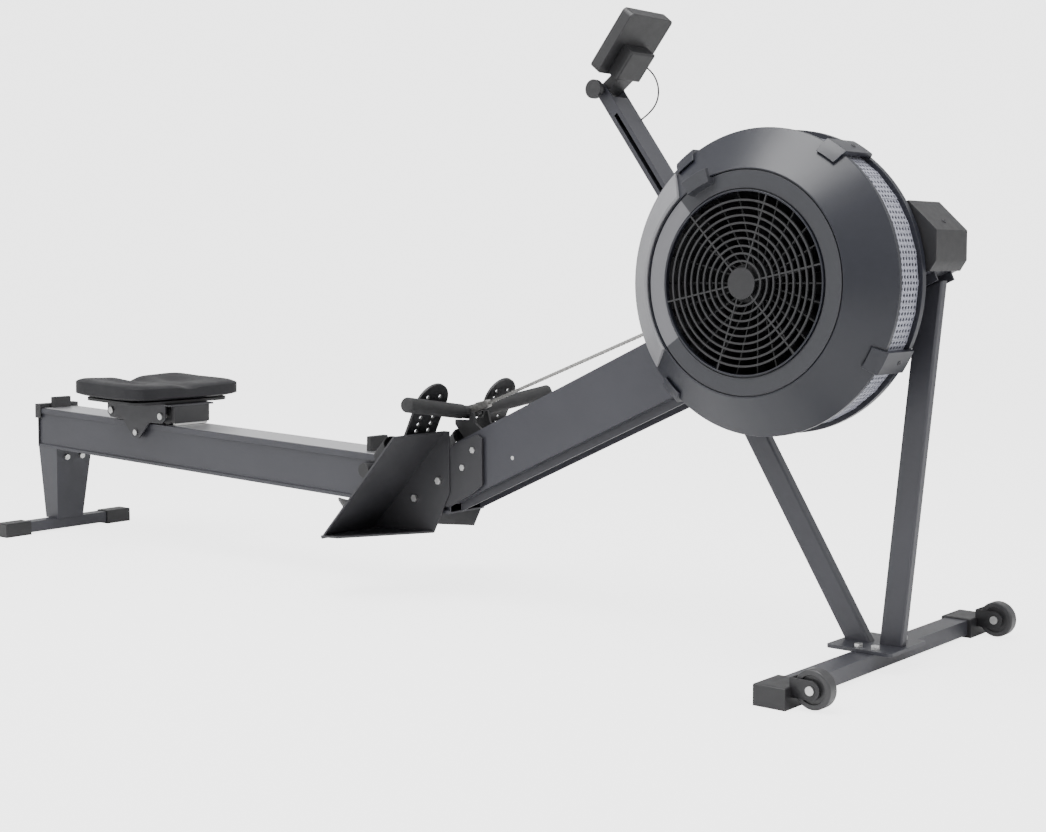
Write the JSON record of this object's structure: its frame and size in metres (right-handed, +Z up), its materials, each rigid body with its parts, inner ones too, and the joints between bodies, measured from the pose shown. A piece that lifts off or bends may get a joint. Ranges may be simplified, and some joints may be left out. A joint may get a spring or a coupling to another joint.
{
  "type": "rowing machine",
  "caption": "Air rowing machine with a seat sliding on a long rail, an inclined beam carrying a round fan housing, a chain-pulled handle, footrests and a monitor on an arm",
  "frame": {"origin": "middle of the machine's outline at floor level", "axes": "+X runs from the rear end of the seat rail to the fan, +Y is the rower's left, +Z is up"},
  "size_m": [2.4402, 0.688, 1.1024],
  "materials": {
    "frame_paint": "satin charcoal powder coat",
    "frame_extrusion": "satin charcoal powder coat on extruded aluminium",
    "black_paint": "fine textured black powder coat",
    "track_steel": "polished along its length by the rollers",
    "steel": "zinc plated",
    "chain_steel": "nickel plated chain, lightly oiled",
    "black_plastic": "fine moulded grain",
    "housing_plastic": "satin moulded",
    "band_plastic": "satin light grey with punched holes",
    "scale_plastic": "satin grey with raised numbers",
    "seat_plastic": "soft satin moulding",
    "rubber": "matt",
    "roller_plastic": "smooth hard plastic",
    "wheel_plastic": "smooth hard plastic",
    "fan_metal": "plain",
    "webbing": "woven webbing",
    "cord": "braided sheath over rubber",
    "felt": "pale felt strip",
    "screen": "dull grey display window",
    "button_rubber": "soft touch",
    "cable_rubber": "smooth"
  },
  "bodies": {
    "frame": {"rail": "frame_extrusion", "rail_track": "track_steel", "rail_end_cap": "black_plastic", "seat_stops": "rubber", "rear_leg": "frame_paint", "rear_foot_caps": "black_plastic", "front_foot_tube": "frame_paint", "front_foot_caps": "black_plastic", "beam": "frame_extrusion", "beam_end_cover": "black_plastic", "front_leg_forward": "frame_paint", "front_leg_rearward": "frame_paint", "joint_plates": "black_paint", "frame_bolts": "steel", "housing_cover": "housing_plastic", "housing_band": "band_plastic", "housing_back": "housing_plastic", "grille": "black_plastic", "damper_scale": "scale_plastic", "fan_axle": "steel", "chain_top": "chain_steel", "chain_inner": "chain_steel", "bungee": "cord", "beam_pins": "steel", "handle_hook": "black_plastic", "footboard_left": "frame_paint", "footboard_right": "frame_paint"},
    "seat": {"seat_carriage": "black_paint", "seat_axles": "steel", "seat_base": "black_plastic", "seat_pad": "seat_plastic", "track_wiper": "felt"},
    "roller_rear": {"seat_roller_rear": "roller_plastic"},
    "roller_front": {"seat_roller_front": "roller_plastic"},
    "guide_rollers": {"guide_rollers": "roller_plastic"},
    "handle": {"handle_core": "black_plastic", "handle_grips": "rubber", "chain_connector": "chain_steel"},
    "flywheel": {"flywheel": "fan_metal"},
    "sprocket": {"sprocket": "chain_steel"},
    "return_pulley": {"return_pulley": "black_plastic"},
    "damper": {"damper": "black_plastic"},
    "monitor_arm": {"monitor_arm": "frame_paint", "tilt_knob": "black_plastic", "monitor_cable": "cable_rubber"},
    "monitor": {"monitor_case": "black_plastic", "monitor_screen": "screen", "monitor_cradle": "black_plastic"},
    "flexfoot_left": {"flexfoot_left": "black_plastic", "strap_left": "webbing"},
    "flexfoot_right": {"flexfoot_right": "black_plastic", "strap_right": "webbing"},
    "wheel_left": {"wheel_left": "wheel_plastic"},
    "wheel_right": {"wheel_right": "wheel_plastic"},
    "rail_lock_pin": {"rail_lock_pin": "black_plastic"},
    "button_1": {"button_1": "button_rubber"},
    "button_2": {"button_2": "button_rubber"},
    "button_3": {"button_3": "button_rubber"},
    "button_4": {"button_4": "button_rubber"},
    "button_5": {"button_5": "button_rubber"}
  },
  "joints": [
    {"name": "seat_slide", "type": "slide", "parent": "frame", "child": "seat", "axis": [0.9996, 0, -0.0297], "range_m": [-0.265, 0.595]},
    {"name": "roller_rear_spin", "type": "hinge", "parent": "seat", "child": "roller_rear", "pos_m": [-0.88936, 0, 0.32085], "axis": [0, 1, 0], "range_deg": [-800, 1750]},
    {"name": "roller_front_spin", "type": "hinge", "parent": "seat", "child": "roller_front", "pos_m": [-0.70144, 0, 0.31528], "axis": [0, 1, 0], "range_deg": [-800, 1750]},
    {"name": "guide_roller_spin", "type": "hinge", "parent": "seat", "child": "guide_rollers", "pos_m": [-0.79674, 0, 0.27298], "axis": [0, 1, 0], "range_deg": [-3150, 1450]},
    {"name": "handle_pull", "type": "slide", "parent": "frame", "child": "handle", "axis": [-0.9397, 0, 0.342], "range_m": [0, 1.1], "deforming": ["chain_top"]},
    {"name": "sprocket_spin", "type": "hinge", "parent": "frame", "child": "sprocket", "pos_m": [0.96066, 0, 0.62447], "axis": [0, 1, 0], "range_deg": [-1800, 0]},
    {"name": "return_pulley_spin", "type": "hinge", "parent": "frame", "child": "return_pulley", "pos_m": [0.35662, 0, 0.29282], "axis": [0, 1, 0], "range_deg": [0, 1150]},
    {"name": "flywheel_spin", "type": "hinge", "parent": "frame", "child": "flywheel", "pos_m": [0.96066, -0.13, 0.62447], "axis": [0, 1, 0], "continuous": true},
    {"name": "damper_turn", "type": "hinge", "parent": "frame", "child": "damper", "pos_m": [0.96066, -0.194, 0.62447], "axis": [0, -1, 0], "range_deg": [0, 80]},
    {"name": "monitor_arm_hinge", "type": "hinge", "parent": "frame", "child": "monitor_arm", "pos_m": [0.85793, 0, 0.54506], "axis": [0, -1, 0], "range_deg": [-5, 40]},
    {"name": "monitor_tilt", "type": "hinge", "parent": "monitor_arm", "child": "monitor", "pos_m": [0.5507, 0, 0.96793], "axis": [0, -1, 0], "range_deg": [-8, 15]},
    {"name": "flexfoot_left_slide", "type": "slide", "parent": "frame", "child": "flexfoot_left", "axis": [0.6921, 0, 0.7218], "range_m": [-0.03, 0.008]},
    {"name": "flexfoot_right_slide", "type": "slide", "parent": "frame", "child": "flexfoot_right", "axis": [0.6921, 0, 0.7218], "range_m": [-0.03, 0.008]},
    {"name": "wheel_left_spin", "type": "hinge", "parent": "frame", "child": "wheel_left", "pos_m": [1.168, 0.312, 0.033], "axis": [0, 1, 0], "continuous": true},
    {"name": "wheel_right_spin", "type": "hinge", "parent": "frame", "child": "wheel_right", "pos_m": [1.168, -0.312, 0.033], "axis": [0, 1, 0], "continuous": true},
    {"name": "lock_pin_pull", "type": "slide", "parent": "frame", "child": "rail_lock_pin", "axis": [0, -1, 0], "range_m": [0, 0.008], "stiffness_N_per_m": 800},
    {"name": "button_1_press", "type": "slide", "parent": "monitor", "child": "button_1", "axis": [0.7738, 0, -0.6334], "range_m": [0, 0.001], "stiffness_N_per_m": 400},
    {"name": "button_2_press", "type": "slide", "parent": "monitor", "child": "button_2", "axis": [0.7738, 0, -0.6334], "range_m": [0, 0.001], "stiffness_N_per_m": 400},
    {"name": "button_3_press", "type": "slide", "parent": "monitor", "child": "button_3", "axis": [0.7738, 0, -0.6334], "range_m": [0, 0.001], "stiffness_N_per_m": 400},
    {"name": "button_4_press", "type": "slide", "parent": "monitor", "child": "button_4", "axis": [0.7738, 0, -0.6334], "range_m": [0, 0.001], "stiffness_N_per_m": 400},
    {"name": "button_5_press", "type": "slide", "parent": "monitor", "child": "button_5", "axis": [0.7738, 0, -0.6334], "range_m": [0, 0.001], "stiffness_N_per_m": 400}
  ],
  "couplings": [
    {"joint": "roller_rear_spin", "follows": "seat_slide", "rad_per_m": 50},
    {"joint": "roller_front_spin", "follows": "seat_slide", "rad_per_m": 50},
    {"joint": "guide_roller_spin", "follows": "seat_slide", "rad_per_m": -90.9},
    {"joint": "sprocket_spin", "follows": "handle_pull", "rad_per_m": -28.5},
    {"joint": "return_pulley_spin", "follows": "handle_pull", "rad_per_m": 18}
  ]
}
